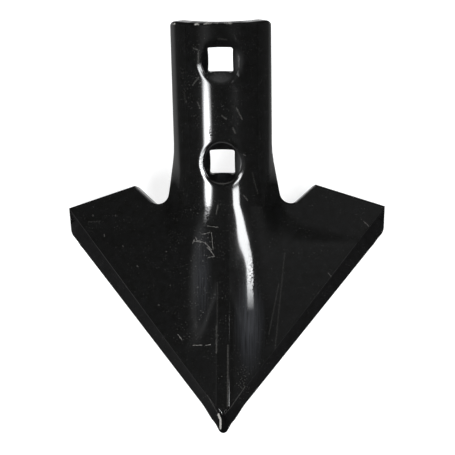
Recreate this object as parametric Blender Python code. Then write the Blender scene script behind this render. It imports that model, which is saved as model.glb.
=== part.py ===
"""A duckfoot plough share, pressed and ground from one steel plate.

The flat plate is cut to an A-shaped blank, which a press folds into two
wings with a narrow crown between them and curls into an arched stem, whose
hollow back seats on a tine. Two countersunk square holes take plough bolts,
and both leading edges are ground to a bevel.

Everything is first laid out in the die's own frame: X across the share, Y
from the tip up to the stem, Z out of the front face. A point of the plate
is then a place (x, y) on the die and a depth below the front face. The
finished share is turned to lie on its two cutting edges, front face up.
"""
import math

import bmesh
import bpy
from mathutils import Matrix, Vector
from mathutils.geometry import delaunay_2d_cdt

# The plate
PLATE = 0.0060              # thickness
EDGE_BREAK = 0.0005         # depth of the rounding that shearing leaves on the front rims
EDGE_BREAK_WIDTH = 0.0009   # and how far it reaches in

# The wings
SPAN = 0.1425               # across both wing ends
WING_LENGTH = 0.0979        # from the tip to the rear outer corners
WING_END_LEAN = 0.0007      # how much narrower a wing is at its lower corner
WING_ROOT_BESIDE = 0.0186   # rear inner corner, this far beside the stem's side
REAR_RISE = 0.0097          # how much higher that corner stands than the outer one
DIHEDRAL = math.radians(20.0)     # each wing falls away from the crown by this angle
NOSE_SLOPE = math.radians(8.5)    # the crown falls back from the tip by this angle
CROWN_WIDTH = 0.0047        # the crown is a narrow flat between two folds
FOLD_RADIUS = 0.0020        # outside radius of those folds
FOLD_EASE = 0.0040          # how far to each side the back is pressed rounder than the front there

# The cutting edges
CORNER_DROP = 0.0114        # the edge reaches each wing end this far below the rear corner
CORNER_RADIUS = 0.0060
EDGE_LIP = 0.0010           # steel left at the edge
NOSE_LENGTH = 0.0112        # the point is fuller below this height
NOSE_HALF_WIDTH = 0.0089    # half width of the share at that height
NOSE_ANGLE = math.radians(33.0)   # half angle of the point itself
TIP_RADIUS = 0.0025
BEVEL_MEET = 0.0080         # both bevels meet on the crown at this height
BEVEL_SHOULDER = 0.0045     # width of the bevel beside the point; it widens from there to the wing end

# The stem
STEM_WIDTH = 0.0438         # above the flare
STEM_TAPER = 0.0004         # each side stands out this much more at the end
STEM_TOP = 0.1759           # height of its end face above the tip, on the crown
STEM_RADIUS = 0.0295        # outside radius of its arch
STEM_FLANK = math.radians(62.0)   # how steep the sides of the arch may get
STEM_LEAN = math.radians(14.0)    # it leans out of the wings by this angle
STEM_STRAIGHT_FROM = 0.1130 # height above which it is straight
STEM_BEND_RADIUS = 0.1000   # the bend below that
STEM_CORNER_RADIUS = 0.0025
FLARE_FROM = 0.1213         # the sides spread below this height
FLARE_RADIUS = 0.0450
NOTCH_BESIDE = 0.0045       # the two straight sides of a notch would meet this far beside the stem's side
NOTCH_Y = 0.0949            # and at this height
NOTCH_RADIUS = 0.0047

# The foot of the stem, where its arch flattens and runs out between the wings
FOOT_SLOPE = math.radians(4.1)    # the foot falls back from the tip by this angle
FOOT_RADIUS = 0.0480        # outside radius that the arch widens to
FOOT_FLANK = math.radians(24.0)   # how steep its sides still are
SPREAD_FROM = 0.0980        # the arch widens below this height
SPREAD_LENGTH = 0.0150      # and most of it within this length
FLANK_TOP = 0.1120          # the sides grow flatter below this height
FLANK_LENGTH = 0.0320       # within this length
BLEND = 0.0040              # softness of the fold between the foot and the wings

# The bolt holes
HOLE_SPACING = 0.0450       # between their centres, along the stem
LOWER_HOLE = 0.1165         # height of the lower one above the tip
LOWER_HOLE_DEPTH = 0.0072   # how far the stem lies behind the tip there
BOLT_SQUARE = 0.0110
SQUARE_CORNER_RADIUS = 0.0009
COUNTERSINK = 0.0188        # its diameter on the crown of the stem
COUNTERSINK_ANGLE = math.radians(45.0)  # of its flank to the hole's axis

# How finely the form is cut into facets
GRID = 0.0050
STEM_GRID = 0.0025
CLEAR_OF_EDGES = 0.0014
ARC_STEP = math.radians(15.0)
SINK_SIDES = 40

PAINT = (0.012, 0.012, 0.013, 1.0)


def arch(x, radius, steepest):
    """Return how far an arch has fallen at x: round, then straight once it is as steep as allowed."""
    x = abs(x)
    turn = radius * math.sin(steepest)
    if x < turn:
        return radius - math.sqrt(radius * radius - x * x)
    return radius * (1 - math.cos(steepest)) + math.tan(steepest) * (x - turn)


def wing_face(x, y):
    beside = max(abs(x) - CROWN_WIDTH / 2, 0.0)
    return -math.tan(NOSE_SLOPE) * y - arch(beside, FOLD_RADIUS, DIHEDRAL)


def stem_line(y):
    """Return the depth of the stem's crown: straight up the stem, bent back below it."""
    start = STEM_STRAIGHT_FROM
    z = -LOWER_HOLE_DEPTH + math.tan(STEM_LEAN) * (start - LOWER_HOLE)
    if y >= start:
        return z + math.tan(STEM_LEAN) * (y - start)
    low = start - STEM_BEND_RADIUS * (math.sin(STEM_LEAN) + math.sin(FOOT_SLOPE))
    bend_y = max(y, low)
    angle = math.asin(math.sin(STEM_LEAN) - (start - bend_y) / STEM_BEND_RADIUS)
    z += STEM_BEND_RADIUS * (math.cos(STEM_LEAN) - math.cos(angle))
    return z + math.tan(FOOT_SLOPE) * (bend_y - y)


def stem_face(x, y):
    """Return the arched stem's height over the die, down to the foot it runs out in."""
    below = max(SPREAD_FROM - y, 0.0)
    radius = FOOT_RADIUS + (STEM_RADIUS - FOOT_RADIUS) * math.exp(-below / SPREAD_LENGTH)
    up = min(1.0, max(0.0, 1 - (FLANK_TOP - y) / FLANK_LENGTH))
    steepest = FOOT_FLANK + (STEM_FLANK - FOOT_FLANK) * up * up * (3 - 2 * up)
    return stem_line(y) - arch(x, radius, steepest)


def face(x, y):
    """Return the front face's height over the die: the stem and the wings, softly joined."""
    wing = wing_face(x, y)
    stem = stem_face(x, y)
    near = max(BLEND - abs(wing - stem), 0.0) / BLEND
    return max(wing, stem) + near ** 3 * BLEND / 6


def face_normal(x, y):
    """Return the direction the plate's thickness is measured in, eased across the folds."""
    step = 0.00005
    wide = step + FOLD_EASE * max(0.0, 1 - abs(x) / (3 * FOLD_EASE))
    across = (face(x + wide, y) - face(x - wide, y)) / (2 * wide)
    along = (face(x, y + step) - face(x, y - step)) / (2 * step)
    return Vector((-across, -along, 1.0)).normalized()


def plate_point(x, y, depth):
    return Vector((x, y, face(x, y))) - face_normal(x, y) * depth


def rounded(corners):
    """Return the line through the corners, each (x, y, radius), with arcs where it turns."""
    line = [Vector(corners[0][:2])]
    for before, corner, after in zip(corners, corners[1:], corners[2:]):
        here = Vector(corner[:2])
        back = (Vector(before[:2]) - here).normalized()
        ahead = (Vector(after[:2]) - here).normalized()
        half = back.angle(ahead) / 2
        turn = math.pi - 2 * half
        if corner[2] == 0.0 or turn < math.radians(1.0):
            line.append(here)
            continue
        centre = here + (back + ahead).normalized() * corner[2] / math.sin(half)
        start = here + back * corner[2] / math.tan(half) - centre
        side = 1 if back.x * ahead.y - back.y * ahead.x < 0 else -1
        steps = max(1, math.ceil(turn / ARC_STEP))
        for i in range(steps + 1):
            point = start.copy()
            point.rotate(Matrix.Rotation(side * turn * i / steps, 2))
            line.append(centre + point)
    line.append(Vector(corners[-1][:2]))
    return line


def wing_corner():
    """Return the place where a straight leading edge would meet the wing end."""
    return SPAN / 2 - WING_END_LEAN, WING_LENGTH - CORNER_DROP


def cutting_edge():
    """Return the right cutting edge, from the tip to the wing end, as it is seen from the front."""
    point_y = NOSE_LENGTH - NOSE_HALF_WIDTH / math.tan(NOSE_ANGLE)
    mirrored = (-NOSE_HALF_WIDTH, NOSE_LENGTH, 0.0)
    corners = [mirrored, (0.0, point_y, TIP_RADIUS), (NOSE_HALF_WIDTH, NOSE_LENGTH, 2 * NOSE_LENGTH)]
    corners += [(*wing_corner(), CORNER_RADIUS), (SPAN / 2, WING_LENGTH, 0.0)]
    line = [point for point in rounded(corners) if point.x > 0.0001 and point.y < WING_LENGTH - 0.0001]
    tip_y = point_y + TIP_RADIUS / math.sin(NOSE_ANGLE) - TIP_RADIUS
    return [Vector((0.0, tip_y))] + line


def ground_back(point):
    """Move a point of the cutting edge to the place that lies over it on the unground front face."""
    normal = face_normal(point.x, point.y)
    return point + normal.xy * (PLATE - EDGE_LIP)


def end_height(x):
    """Return the height of the stem's end face at x, cut square to the stem."""
    return STEM_TOP + arch(x, STEM_RADIUS, STEM_FLANK) * math.sin(STEM_LEAN) * math.cos(STEM_LEAN)


def sheared_edge():
    """Return the right sheared edge, from the wing's rear corner past the notch to the stem's end."""
    half = STEM_WIDTH / 2
    end_half = half + STEM_TAPER
    top = end_height(end_half)
    corners = [(SPAN / 2, WING_LENGTH, 0.0), (half + WING_ROOT_BESIDE, WING_LENGTH + REAR_RISE, 0.0)]
    corners += [(half + NOTCH_BESIDE, NOTCH_Y, NOTCH_RADIUS), (half, FLARE_FROM, FLARE_RADIUS)]
    corners += [(end_half, top, STEM_CORNER_RADIUS), (0.0, top, 0.0)]
    line = rounded(corners)[:-1]
    line += [Vector((x, top)) for x in stem_columns()[::-1] if x < half - STEM_CORNER_RADIUS - 0.0005]
    return [Vector((p.x, p.y + end_height(p.x) - top)) if p.y > top - STEM_CORNER_RADIUS else p for p in line]


def stem_columns():
    """Return the columns of facets up the right half of the stem, the crown and its fold included."""
    fold = CROWN_WIDTH / 2 + FOLD_RADIUS * math.sin(DIHEDRAL)
    count = round((STEM_WIDTH / 2 - fold) / STEM_GRID)
    return [0.0, CROWN_WIDTH / 2] + [fold + STEM_GRID * i for i in range(count)]


def inset(line, distance):
    """Return the inner points of a line, moved to their left."""
    moved = []
    for before, here, after in zip(line, line[1:], line[2:]):
        left_in = (here - before).normalized().orthogonal()
        left_out = (after - here).normalized().orthogonal()
        across = (left_in + left_out).normalized()
        moved.append(here + across * distance / max(across.dot(left_in), 0.5))
    return moved


def divided(line):
    """Return the line with its long stretches divided, so that it follows the curve of the plate."""
    points = [line[0]]
    for a, b in zip(line, line[1:]):
        count = max(1, round((b - a).length / GRID))
        points += [a.lerp(b, (i + 1) / count) for i in range(count)]
    return points


def height_on(line, x):
    """Return the height of a line that runs outwards from the crown, at x to either side."""
    for a, b in zip(line, line[1:]):
        if abs(x) <= b.x:
            return a.y + (b.y - a.y) * (abs(x) - a.x) / (b.x - a.x)
    return line[-1].y


def near_line(point, line, distance):
    for a, b in zip(line, line[1:]):
        along = b - a
        share = min(1.0, max(0.0, (point - a).dot(along) / along.length_squared))
        if (a + along * share - point).length < distance:
            return True
    return False


def mirror_line(line):
    return [Vector((-point.x, point.y)) for point in line]


def plate_mesh():
    """Build the pressed and ground plate, without its holes, in the die's frame."""
    edge = [ground_back(point) for point in divided(cutting_edge())]
    sheared = sheared_edge()
    corner = sheared[0]
    rim = inset(sheared, EDGE_BREAK_WIDTH)
    rim_end = Vector((0.0, sheared[-1].y - EDGE_BREAK_WIDTH))
    shoulder = Vector((NOSE_HALF_WIDTH, NOSE_LENGTH))
    lead = Vector(wing_corner()) - shoulder
    shoulder += lead.normalized() * NOSE_LENGTH / 2 + Vector((-lead.y, lead.x)).normalized() * BEVEL_SHOULDER
    to_shoulder = shoulder - corner
    bevel_end = corner + to_shoulder.normalized() * EDGE_BREAK_WIDTH / math.sin(to_shoulder.angle(sheared[1] - corner))
    bevel = divided([Vector((0.0, BEVEL_MEET)), shoulder, bevel_end])

    # Each line is a run of places on the die with a depth below the front face
    outline = [(p, PLATE - EDGE_LIP) for p in edge] + [(p, EDGE_BREAK) for p in sheared]
    outline += [(p, EDGE_BREAK) for p in mirror_line(sheared)[-2::-1]]
    outline += [(p, PLATE - EDGE_LIP) for p in mirror_line(edge)[:0:-1]]
    rim_line = [bevel_end] + rim + [rim_end] + mirror_line(rim)[::-1] + mirror_line([bevel_end])
    bevel_line = mirror_line(bevel)[:0:-1] + bevel
    spots = list(outline)
    edges = []

    def add_line(line, start=None, finish=None):
        numbers = [start] if start is not None else []
        for point in line:
            same = [i for i, (spot, _) in enumerate(spots) if (spot - point).length < 1e-7]
            if same:
                numbers.append(same[0])
            else:
                numbers.append(len(spots))
                spots.append((point, 0.0))
        if finish is not None:
            numbers.append(finish)
        edges.extend(zip(numbers, numbers[1:]))

    right_corner = len(edge)
    left_corner = len(outline) - len(edge)
    add_line(bevel_line, start=left_corner, finish=right_corner)
    add_line(rim_line)

    # Facet corners between the lines, denser over the stem and the crown, none on the flat bevels
    lines = [[p for p, _ in outline] + [outline[0][0]], bevel_line, rim_line]
    columns = stem_columns()
    while columns[-1] < SPAN / 2:
        near_stem = columns[-1] < STEM_WIDTH / 2 + NOTCH_BESIDE
        columns.append(columns[-1] + (STEM_GRID if near_stem else GRID))
    columns = [-x for x in columns[:0:-1]] + columns
    rows = int(end_height(STEM_WIDTH / 2) / GRID) + 1
    for row in range(rows):
        for x in columns:
            point = Vector((x, GRID * (row + 0.5)))
            ground = x < bevel_end.x and point.y < height_on(bevel, x)
            if not ground and not any(near_line(point, line, CLEAR_OF_EDGES) for line in lines):
                spots.append((point, 0.0))

    loop = list(range(len(outline)))
    cut = delaunay_2d_cdt([p for p, _ in spots], edges, [loop], 1, 1e-7)
    places, triangles, sources = cut[0], cut[2], cut[3]
    depths = [spots[source[0]][1] for source in sources]

    mesh = bmesh.new()
    front = [mesh.verts.new(plate_point(p.x, p.y, d)) for p, d in zip(places, depths)]
    back = [mesh.verts.new(plate_point(p.x, p.y, PLATE)) for p in places]
    for a, b, c in triangles:
        mesh.faces.new((front[a], front[b], front[c]))
        mesh.faces.new((back[c], back[b], back[a]))
    renumbered = {source[0]: i for i, source in enumerate(sources)}
    for a, b in zip(loop, loop[1:] + loop[:1]):
        a, b = renumbered[a], renumbered[b]
        mesh.faces.new((front[a], back[a], back[b], front[b]))
    outside = [vertex for vertex in mesh.verts if not vertex.link_faces]
    bmesh.ops.delete(mesh, geom=outside, context="VERTS")
    return mesh


def hole_frame(along):
    """Return the frame of a bolt hole that lies this far up the stem from the lower one."""
    square = Matrix.Rotation(STEM_LEAN, 4, "X")
    centre = Vector((0.0, LOWER_HOLE, -LOWER_HOLE_DEPTH))
    return Matrix.Translation(centre + square @ Vector((0.0, along, 0.0))) @ square


def cutter(name, sections, frame):
    """Make a cutter whose sections, each a loop of points, are joined into one closed solid."""
    mesh = bmesh.new()
    rings = [[mesh.verts.new(frame @ point) for point in section] for section in sections]
    count = len(rings[0])
    for lower, upper in zip(rings, rings[1:]):
        for i in range(count):
            j = (i + 1) % count
            mesh.faces.new((lower[i], lower[j], upper[j], upper[i]))
    mesh.faces.new(rings[0][::-1])
    mesh.faces.new(rings[-1])
    data = bpy.data.meshes.new(name)
    mesh.to_mesh(data)
    mesh.free()
    body = bpy.data.objects.new(name, data)
    body.hide_render = True
    body.display_type = "WIRE"
    bpy.context.scene.collection.objects.link(body)
    return body


def square_section(height):
    """Return a bolt's square, with its rounded corners, at a height over the stem's crown."""
    half = BOLT_SQUARE / 2
    inner = half - SQUARE_CORNER_RADIUS
    points = []
    for quarter in range(4):
        for step in range(4):
            angle = math.radians(90 * quarter + 30 * step)
            x = inner * (1 if quarter in (0, 3) else -1)
            y = inner * (1 if quarter in (0, 1) else -1)
            x += SQUARE_CORNER_RADIUS * math.cos(angle)
            y += SQUARE_CORNER_RADIUS * math.sin(angle)
            points.append(Vector((x, y, height)))
    return points


def round_section(height):
    """Return the countersink's circle at a height over the stem's crown."""
    radius = COUNTERSINK / 2 + height * math.tan(COUNTERSINK_ANGLE)
    angles = [2 * math.pi * i / SINK_SIDES for i in range(SINK_SIDES)]
    return [Vector((radius * math.cos(a), radius * math.sin(a), height)) for a in angles]


def drill(share, name, along):
    """Cut one square hole and its countersink."""
    frame = hole_frame(along)
    bottom = -(COUNTERSINK / 2 - BOLT_SQUARE / 4) / math.tan(COUNTERSINK_ANGLE)
    square = cutter(name + "_square", [square_section(-3 * PLATE), square_section(PLATE)], frame)
    sink = cutter(name + "_countersink", [round_section(bottom), round_section(PLATE / 2)], frame)
    for body in (square, sink):
        cut = share.modifiers.new(body.name, "BOOLEAN")
        cut.operation = "DIFFERENCE"
        cut.solver = "EXACT"
        cut.object = body
        body.parent = share


def centre_of_mass(mesh):
    """Return the centre of mass of a closed triangle mesh."""
    volume = 0.0
    moment = Vector()
    for triangle in mesh.calc_loop_triangles():
        a, b, c = [loop.vert.co for loop in triangle]
        part = a.dot(b.cross(c)) / 6
        volume += part
        moment += part * (a + b + c) / 4
    return moment / volume


def resting_pitch(mesh):
    """Return the turn about X that lays the share on what its weight comes over."""
    points = [vertex.co.copy() for vertex in mesh.verts]
    centre = centre_of_mass(mesh)
    pitch = 0.0
    for _ in range(8):
        turn = Matrix.Rotation(pitch, 3, "X")
        turned = [(turn @ point).yz for point in points]
        middle = (turn @ centre).y
        low = min((p for p in turned if p.x <= middle), key=lambda p: p.y)
        for _ in range(8):
            high = min((p for p in turned if p.x > middle), key=lambda p: (p.y - low.y) / (p.x - low.x))
            low = max((p for p in turned if p.x <= middle), key=lambda p: (high.y - p.y) / (high.x - p.x))
        pitch -= math.atan2(high.y - low.y, high.x - low.x)
    return pitch


def paint():
    material = bpy.data.materials.new("black_paint")
    material.use_nodes = True
    shader = material.node_tree.nodes["Principled BSDF"]
    shader.inputs["Base Color"].default_value = PAINT
    shader.inputs["Metallic"].default_value = 0.0
    shader.inputs["Roughness"].default_value = 0.22
    return material


def make_share():
    mesh = plate_mesh()
    bmesh.ops.triangulate(mesh, faces=mesh.faces[:])
    pitch = resting_pitch(mesh)
    data = bpy.data.meshes.new("share")
    mesh.to_mesh(data)
    mesh.free()
    data.materials.append(paint())
    share = bpy.data.objects.new("share", data)
    bpy.context.scene.collection.objects.link(share)
    drill(share, "lower_hole", 0.0)
    drill(share, "upper_hole", HOLE_SPACING)

    # Laid down, the share stands on the ground with its middle over the origin
    turn = Matrix.Rotation(pitch, 3, "X")
    placed = [turn @ vertex.co for vertex in data.vertices]
    lengths = [point.y for point in placed]
    share.rotation_euler = (pitch, 0.0, 0.0)
    share.location = (0.0, -(min(lengths) + max(lengths)) / 2, -min(point.z for point in placed))
    data.shade_smooth()
    data.set_sharp_from_angle(angle=math.radians(25.0))
    return share


def main():
    for old in list(bpy.data.objects):
        bpy.data.objects.remove(old, do_unlink=True)
    make_share()


main()
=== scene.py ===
# %% [markdown]
# A plough share in black paint.
# The share is one steel plate: cut to shape, pressed into two wings and an
# arched stem, drilled for two plough bolts, ground along both cutting edges,
# and dipped in gloss black paint. Each step below builds or finishes it the
# way the workshop does, and then sets up the light it is looked at in.
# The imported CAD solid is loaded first. It is the fixed frame: the fine share
# has to lie exactly where that solid lies.

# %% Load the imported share
import math

import bmesh
import bpy
import numpy as np
from mathutils import Matrix, Vector
from mathutils.geometry import delaunay_2d_cdt


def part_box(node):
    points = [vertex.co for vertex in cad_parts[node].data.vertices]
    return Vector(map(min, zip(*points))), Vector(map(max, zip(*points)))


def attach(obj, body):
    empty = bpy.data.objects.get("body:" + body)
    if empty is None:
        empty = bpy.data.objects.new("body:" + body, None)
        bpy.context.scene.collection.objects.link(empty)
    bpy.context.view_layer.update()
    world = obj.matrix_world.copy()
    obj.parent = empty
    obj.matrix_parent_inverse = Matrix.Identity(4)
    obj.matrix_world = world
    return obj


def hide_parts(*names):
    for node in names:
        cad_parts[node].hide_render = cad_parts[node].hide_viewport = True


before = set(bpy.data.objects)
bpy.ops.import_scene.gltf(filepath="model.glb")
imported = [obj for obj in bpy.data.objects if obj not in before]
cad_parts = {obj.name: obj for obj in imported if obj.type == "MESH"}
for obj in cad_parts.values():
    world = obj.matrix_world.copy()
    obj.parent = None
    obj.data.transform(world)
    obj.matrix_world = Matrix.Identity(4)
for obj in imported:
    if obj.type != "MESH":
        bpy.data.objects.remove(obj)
bpy.context.view_layer.update()
share_low, share_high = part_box("share")
print("share box", tuple(round(v, 4) for v in share_low), tuple(round(v, 4) for v in share_high))

# %% [markdown]
# The die and the plate.
# The share is easiest to describe as the press sees it: X across the wings,
# Y from the tip up to the stem, Z out of the front face. The sizes are the
# solid's own, in metres. The CAD solid is cut into coarse facets, which gloss
# paint would show at once, so the same form is built again here, finely.

# %% Sizes of the pressed plate
PLATE = 0.0060
SPAN = 0.1425
WING_LENGTH = 0.0979
WING_END_LEAN = 0.0007
DIHEDRAL = math.radians(20.0)
NOSE_SLOPE = math.radians(8.5)
CROWN_WIDTH = 0.0047
FOLD_RADIUS = 0.0020
FOLD_EASE = 0.0040
STEM_WIDTH = 0.0438
STEM_TAPER = 0.0004
STEM_TOP = 0.1759
STEM_RADIUS = 0.0295
STEM_FLANK = math.radians(62.0)
STEM_LEAN = math.radians(14.0)
STEM_STRAIGHT_FROM = 0.1130
STEM_BEND_RADIUS = 0.1000
FOOT_SLOPE = math.radians(4.1)
FOOT_RADIUS = 0.0480
FOOT_FLANK = math.radians(24.0)
SPREAD_FROM = 0.0980
SPREAD_LENGTH = 0.0150
FLANK_TOP = 0.1120
FLANK_LENGTH = 0.0320
BLEND = 0.0040
LOW_BLEND = 0.0005
BLEND_FROM = 0.0500
BLEND_RISE = 0.0400
LOWER_HOLE = 0.1165
LOWER_HOLE_DEPTH = 0.0072
HOLE_SPACING = 0.0450
RESTING_PITCH = math.radians(23.5721)
print("span", SPAN, "stem", STEM_WIDTH, "plate", PLATE)

# %% [markdown]
# The press form.
# Two smooth surfaces meet in the die: the wings, which fall away from a
# narrow flat crown, and the stem, an arch that flattens as it runs out
# between them. The higher of the two is the plate, with a soft fold where
# they cross, tighter low down. Writing the form as a height over (x, y), for
# whole arrays of places at once, puts every point of the fine mesh on it.

# %% Height of the front face over the die
def arch_fall(x, radius, steepest):
    """Return how far an arch has fallen at x: round, then straight at its steepest."""
    x = np.abs(x)
    curved = np.minimum(x, radius * np.sin(steepest))
    return radius - np.sqrt(radius ** 2 - curved ** 2) + np.tan(steepest) * (x - curved)


def wing_face(x, y):
    beside = np.maximum(np.abs(x) - CROWN_WIDTH / 2, 0.0)
    return -math.tan(NOSE_SLOPE) * y - arch_fall(beside, FOLD_RADIUS, DIHEDRAL)


def stem_crown(y):
    """Return the height of the stem's crown: straight up the stem, bent back at its foot."""
    start = STEM_STRAIGHT_FROM
    low = start - STEM_BEND_RADIUS * (math.sin(STEM_LEAN) + math.sin(FOOT_SLOPE))
    bend_y = np.clip(y, low, start)
    angle = np.arcsin(math.sin(STEM_LEAN) - (start - bend_y) / STEM_BEND_RADIUS)
    height = -LOWER_HOLE_DEPTH + math.tan(STEM_LEAN) * (start - LOWER_HOLE)
    height = height + STEM_BEND_RADIUS * (math.cos(STEM_LEAN) - np.cos(angle))
    height = height + math.tan(STEM_LEAN) * np.maximum(y - start, 0.0)
    return height + math.tan(FOOT_SLOPE) * np.maximum(low - y, 0.0)


def stem_face(x, y):
    below = np.maximum(SPREAD_FROM - y, 0.0)
    radius = FOOT_RADIUS + (STEM_RADIUS - FOOT_RADIUS) * np.exp(-below / SPREAD_LENGTH)
    up = np.clip(1 - (FLANK_TOP - y) / FLANK_LENGTH, 0.0, 1.0)
    steepest = FOOT_FLANK + (STEM_FLANK - FOOT_FLANK) * up * up * (3 - 2 * up)
    return stem_crown(y) - arch_fall(x, radius, steepest)


def pressed_face(x, y):
    wing = wing_face(x, y)
    stem = stem_face(x, y)
    up = np.clip((y - BLEND_FROM) / BLEND_RISE, 0.0, 1.0)
    blend = LOW_BLEND + (BLEND - LOW_BLEND) * up * up * (3 - 2 * up)
    near = np.maximum(blend - np.abs(wing - stem), 0.0) / blend
    return np.maximum(wing, stem) + near ** 3 * blend / 6


print("crown at the lower hole", round(float(pressed_face(0.0, LOWER_HOLE)), 4))

# %% [markdown]
# Thickness.
# A pressed plate keeps its thickness at right angles to its face, and the
# back comes out rounder than the front at a tight fold. So a point under the
# face is found by going down along a direction that is eased over the folds.

# %% Points of the plate at a depth below the front face
def thickness_direction(x, y):
    step = 0.00005
    wide = step + FOLD_EASE * np.maximum(0.0, 1 - np.abs(x) / (3 * FOLD_EASE))
    across = (pressed_face(x + wide, y) - pressed_face(x - wide, y)) / (2 * wide)
    along = (pressed_face(x, y + step) - pressed_face(x, y - step)) / (2 * step)
    direction = np.stack([-across, -along, np.ones_like(across)], axis=-1)
    return direction / np.linalg.norm(direction, axis=-1, keepdims=True)


def plate_points(places, depth):
    """Return the 3-D points that lie at a depth, or one depth each, under places on the die."""
    places = np.asarray(places, float)
    x, y = places[:, 0], places[:, 1]
    depth = np.broadcast_to(np.asarray(depth, float), x.shape)
    on_face = np.stack([x, y, pressed_face(x, y)], axis=-1)
    return on_face - thickness_direction(x, y) * depth[:, None]


print("back of the stem", plate_points([(0.0, 0.14)], PLATE).round(4).tolist())

# %% [markdown]
# The bolt holes.
# A plough bolt has a square neck under a conical head. Its hole is punched
# square, a little pinched as the stem is arched afterwards, and sunk with a
# cone so that the head lies flush. The cone's rim is worn soft and drawn in,
# which is why the long highlights bend round it. Over the hole the face may
# rise no higher than the cone, and the two are blended softly.

# %% The holes' own frames and the countersinks
BOLT_SQUARE = 0.0110
SQUARE_CORNER = 0.0009
SQUARE_PINCH = 0.00018
COUNTERSINK = 0.0188
SINK_ANGLE = math.radians(45.0)
RIM_SOFTNESS = 0.0007
DRAWN_IN = 0.00018
DRAWN_REACH = 0.0012


def hole_frame(along):
    """Return the rotation and centre of the hole this far up the stem from the lower one."""
    turn = np.array(Matrix.Rotation(STEM_LEAN, 3, "X"))
    return turn, np.array([0.0, LOWER_HOLE, -LOWER_HOLE_DEPTH]) + turn @ np.array([0.0, along, 0.0])


HOLES = [hole_frame(0.0), hole_frame(HOLE_SPACING)]


def sink(points):
    """Lower points of the front face into the countersinks."""
    for turn, centre in HOLES:
        local = (points - centre) @ turn
        radius = np.hypot(local[:, 0], local[:, 1])
        beyond = np.maximum(radius - COUNTERSINK / 2 + RIM_SOFTNESS, 0.0)
        height = local[:, 2] - DRAWN_IN * np.exp(-(beyond / DRAWN_REACH) ** 2)
        cone = (radius - COUNTERSINK / 2) / math.tan(SINK_ANGLE)
        near = np.maximum(RIM_SOFTNESS - np.abs(cone - height), 0.0)
        lowered = np.minimum(cone, height) - near ** 2 / (4 * RIM_SOFTNESS)
        local[:, 2] = np.where(radius < 2 * COUNTERSINK, lowered, local[:, 2])
        points = local @ turn.T + centre
    return points


print("holes at", [tuple(centre.round(4)) for turn, centre in HOLES])

# %% [markdown]
# The foot's shoulders.
# Where the arch opens out and runs in between the wings, its shoulders stand
# a little proud, and the highlights bend over them. They are a relief on the
# face, less than half a millimetre high and eased to nothing on every side.

# %% Relief of the shoulders, and the finished faces
SHOULDER_FROM = 0.0050
SHOULDER_AT = 0.0155
SHOULDER_TO = 0.0280
SHOULDER_RISE = 0.00037
SHOULDER_TOP = 0.0920
SHOULDER_OPENS = 0.0250
SHOULDER_LOW = 0.0340
SHOULDER_ENDS = 0.0220


def soft_step(t):
    """Return 0 up to t = 0 and 1 from t = 1, with a smooth rise between."""
    t = np.clip(t, 0.0, 1.0)
    return t ** 3 * (10 - 15 * t + 6 * t * t)


def foot_relief(places):
    """Return how far the foot's shoulders stand up at places on the die."""
    places = np.asarray(places, float)
    x = np.abs(places[:, 0])
    y = places[:, 1]
    rise = soft_step((x - SHOULDER_FROM) / (SHOULDER_AT - SHOULDER_FROM))
    fall = soft_step((SHOULDER_TO - x) / (SHOULDER_TO - SHOULDER_AT))
    opened = soft_step((SHOULDER_TOP - y) / SHOULDER_OPENS)
    ended = soft_step((y - SHOULDER_LOW) / SHOULDER_ENDS)
    return SHOULDER_RISE * rise * fall * opened * ended


def front_points(places, depth=0.0):
    raised = plate_points(places, depth)
    raised[:, 2] += foot_relief(places)
    return sink(raised)


def unsunk_face(places):
    return plate_points(places, 0.0)


def back_face(places):
    return plate_points(places, PLATE)


print("shoulders stand up", SHOULDER_RISE)

# %% [markdown]
# The outline.
# The blank is sheared from sheet, so its rear edges, notches and stem have
# square sides with a softly rounded front rim. The two leading edges are
# ground to a bevel, down to a thin lip. One closed line runs round the share,
# and every point of it carries how keen it is: 1 on a ground edge, 0 on a
# sheared one, and in between at the wing's end.

# %% Lines with round corners, in even steps
ARC_STEP = math.radians(6.0)


def rounded(corners):
    """Return the line through corners (x, y, radius), with arcs where it turns."""
    line = [Vector(corners[0][:2])]
    for before, corner, after in zip(corners, corners[1:], corners[2:]):
        here = Vector(corner[:2])
        back = (Vector(before[:2]) - here).normalized()
        ahead = (Vector(after[:2]) - here).normalized()
        half = back.angle(ahead) / 2
        turn = math.pi - 2 * half
        if corner[2] == 0.0:
            line.append(here)
            continue
        centre = here + (back + ahead).normalized() * corner[2] / math.sin(half)
        start = here + back * corner[2] / math.tan(half) - centre
        side = 1 if back.x * ahead.y - back.y * ahead.x < 0 else -1
        steps = max(2, math.ceil(turn / ARC_STEP))
        for i in range(steps + 1):
            point = start.copy()
            point.rotate(Matrix.Rotation(side * turn * i / steps, 2))
            line.append(centre + point)
    line.append(Vector(corners[-1][:2]))
    return line


def divided(line, step):
    points = [line[0]]
    for a, b in zip(line, line[1:]):
        count = max(1, math.ceil((b - a).length / step))
        points += [a.lerp(b, (i + 1) / count) for i in range(count)]
    return points


print("degrees in a step of an arc", round(math.degrees(ARC_STEP)))

# %% Corners and arcs of both edges
NOSE_LENGTH = 0.0112
NOSE_HALF_WIDTH = 0.0089
NOSE_ANGLE = math.radians(33.0)
TIP_RADIUS = 0.0025
CORNER_DROP = 0.0114
CORNER_RADIUS = 0.0060
WING_ROOT_BESIDE = 0.0186
REAR_RISE = 0.0097
NOTCH_BESIDE = 0.0045
NOTCH_Y = 0.0949
NOTCH_RADIUS = 0.0047
FLARE_FROM = 0.1213
FLARE_RADIUS = 0.0450
STEM_CORNER_RADIUS = 0.0025
OUTLINE_STEP = 0.0012
NEAR_END = 0.0001


def end_height(x):
    fall = float(arch_fall(x, STEM_RADIUS, STEM_FLANK))
    return STEM_TOP + fall * math.sin(STEM_LEAN) * math.cos(STEM_LEAN)


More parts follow.
